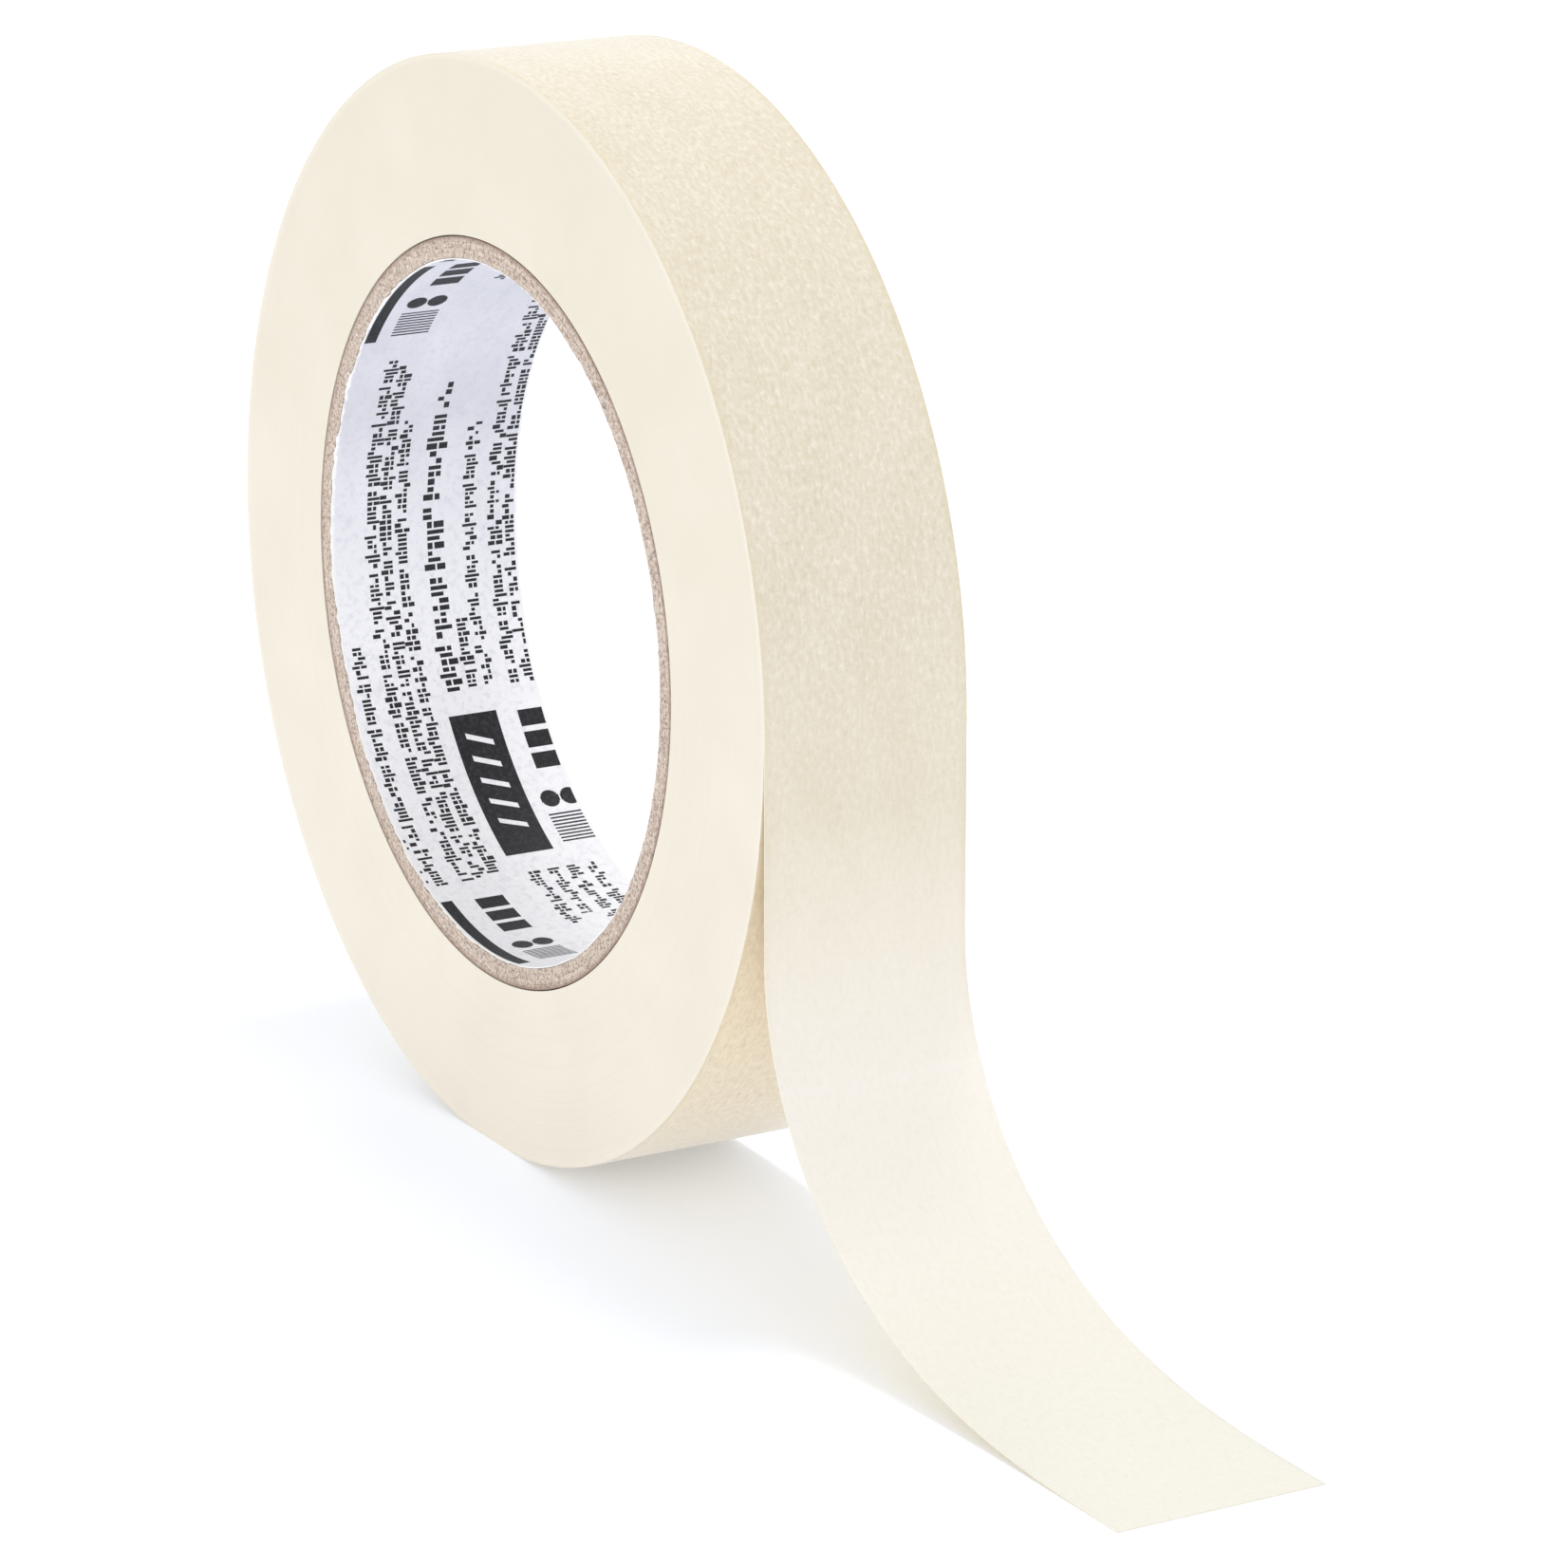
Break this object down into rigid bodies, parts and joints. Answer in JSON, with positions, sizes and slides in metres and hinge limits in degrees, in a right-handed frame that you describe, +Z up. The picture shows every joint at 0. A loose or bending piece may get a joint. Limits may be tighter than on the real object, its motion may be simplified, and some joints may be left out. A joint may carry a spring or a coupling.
{
  "type": "masking tape roll",
  "caption": "Roll of cream crepe-paper masking tape on a paper core, its loose end pulled off the rim and curled down to the floor.",
  "frame": {"origin": "middle of the core's bore, on the roll's axis", "axes": "+Y along the roll's axis, +Z up from the floor the roll stands on, +X towards the side where the loose end leaves the rim"},
  "size_m": [0.1861, 0.0236, 0.1196],
  "materials": {
    "liner_paper": "matte",
    "kraft_board": "matte",
    "crepe_tape": "matte"
  },
  "bodies": {
    "roll": {"core_liner": "liner_paper", "core_ply_1": "kraft_board", "core_ply_2": "kraft_board", "core_ply_3": "kraft_board", "core_ply_4": "kraft_board", "wound_tape": "crepe_tape", "outer_turn": "crepe_tape"},
    "tail_hang_1": {"tail_hang_1": "crepe_tape"},
    "tail_hang_2": {"tail_hang_2": "crepe_tape"},
    "tail_curl_1": {"tail_curl_1": "crepe_tape"},
    "tail_curl_2": {"tail_curl_2": "crepe_tape"},
    "tail_curl_3": {"tail_curl_3": "crepe_tape"},
    "tail_curl_4": {"tail_curl_4": "crepe_tape"},
    "tail_curl_5": {"tail_curl_5": "crepe_tape"},
    "tail_curl_6": {"tail_curl_6": "crepe_tape"},
    "tail_curl_7": {"tail_curl_7": "crepe_tape"},
    "tail_curl_8": {"tail_curl_8": "crepe_tape"},
    "tail_curl_9": {"tail_curl_9": "crepe_tape"},
    "tail_tip": {"tail_tip": "crepe_tape"}
  },
  "joints": [
    {"name": "tail_peel", "type": "hinge", "parent": "roll", "child": "tail_hang_1", "pos_m": [0.05992, 0, 0], "axis": [0, -1, 0], "range_deg": [0, 120], "stiffness_Nm_per_rad": 0.004},
    {"name": "tail_curl", "type": "hinge", "parent": "tail_hang_1", "child": "tail_hang_2", "pos_m": [0.05992, 0, -0.01106], "axis": [0, -1, 0], "range_deg": [-15.6, 4.5], "stiffness_Nm_per_rad": 0.004},
    {"name": "tail_bend_1", "type": "hinge", "parent": "tail_hang_2", "child": "tail_curl_1", "pos_m": [0.05992, 0, -0.02212], "axis": [0, -1, 0], "range_deg": [-17.67, 5.1], "stiffness_Nm_per_rad": 0.004},
    {"name": "tail_bend_2", "type": "hinge", "parent": "tail_curl_1", "child": "tail_curl_2", "pos_m": [0.06118, 0, -0.0305], "axis": [0, -1, 0], "range_deg": [-24.07, 6.94], "stiffness_Nm_per_rad": 0.004},
    {"name": "tail_bend_3", "type": "hinge", "parent": "tail_curl_2", "child": "tail_curl_3", "pos_m": [0.06473, 0, -0.0382], "axis": [0, -1, 0], "range_deg": [-22.28, 6.43], "stiffness_Nm_per_rad": 0.004},
    {"name": "tail_bend_4", "type": "hinge", "parent": "tail_curl_3", "child": "tail_curl_4", "pos_m": [0.07009, 0, -0.04477], "axis": [0, -1, 0], "range_deg": [-20.49, 5.91], "stiffness_Nm_per_rad": 0.004},
    {"name": "tail_bend_5", "type": "hinge", "parent": "tail_curl_4", "child": "tail_curl_5", "pos_m": [0.07675, 0, -0.05002], "axis": [0, -1, 0], "range_deg": [-18.71, 5.4], "stiffness_Nm_per_rad": 0.004},
    {"name": "tail_bend_6", "type": "hinge", "parent": "tail_curl_5", "child": "tail_curl_6", "pos_m": [0.08428, 0, -0.05394], "axis": [0, -1, 0], "range_deg": [-16.92, 4.88], "stiffness_Nm_per_rad": 0.004},
    {"name": "tail_bend_7", "type": "hinge", "parent": "tail_curl_6", "child": "tail_curl_7", "pos_m": [0.09234, 0, -0.05663], "axis": [0, -1, 0], "range_deg": [-15.13, 4.36], "stiffness_Nm_per_rad": 0.004},
    {"name": "tail_bend_8", "type": "hinge", "parent": "tail_curl_7", "child": "tail_curl_8", "pos_m": [0.10067, 0, -0.05828], "axis": [0, -1, 0], "range_deg": [-13.34, 3.85], "stiffness_Nm_per_rad": 0.004},
    {"name": "tail_bend_9", "type": "hinge", "parent": "tail_curl_8", "child": "tail_curl_9", "pos_m": [0.10913, 0, -0.05915], "axis": [0, -1, 0], "range_deg": [-11.55, 3.33], "stiffness_Nm_per_rad": 0.004},
    {"name": "tail_bend_10", "type": "hinge", "parent": "tail_curl_9", "child": "tail_tip", "pos_m": [0.11762, 0, -0.05948], "axis": [0, -1, 0], "range_deg": [-9.76, 2.81], "stiffness_Nm_per_rad": 0.004}
  ]
}
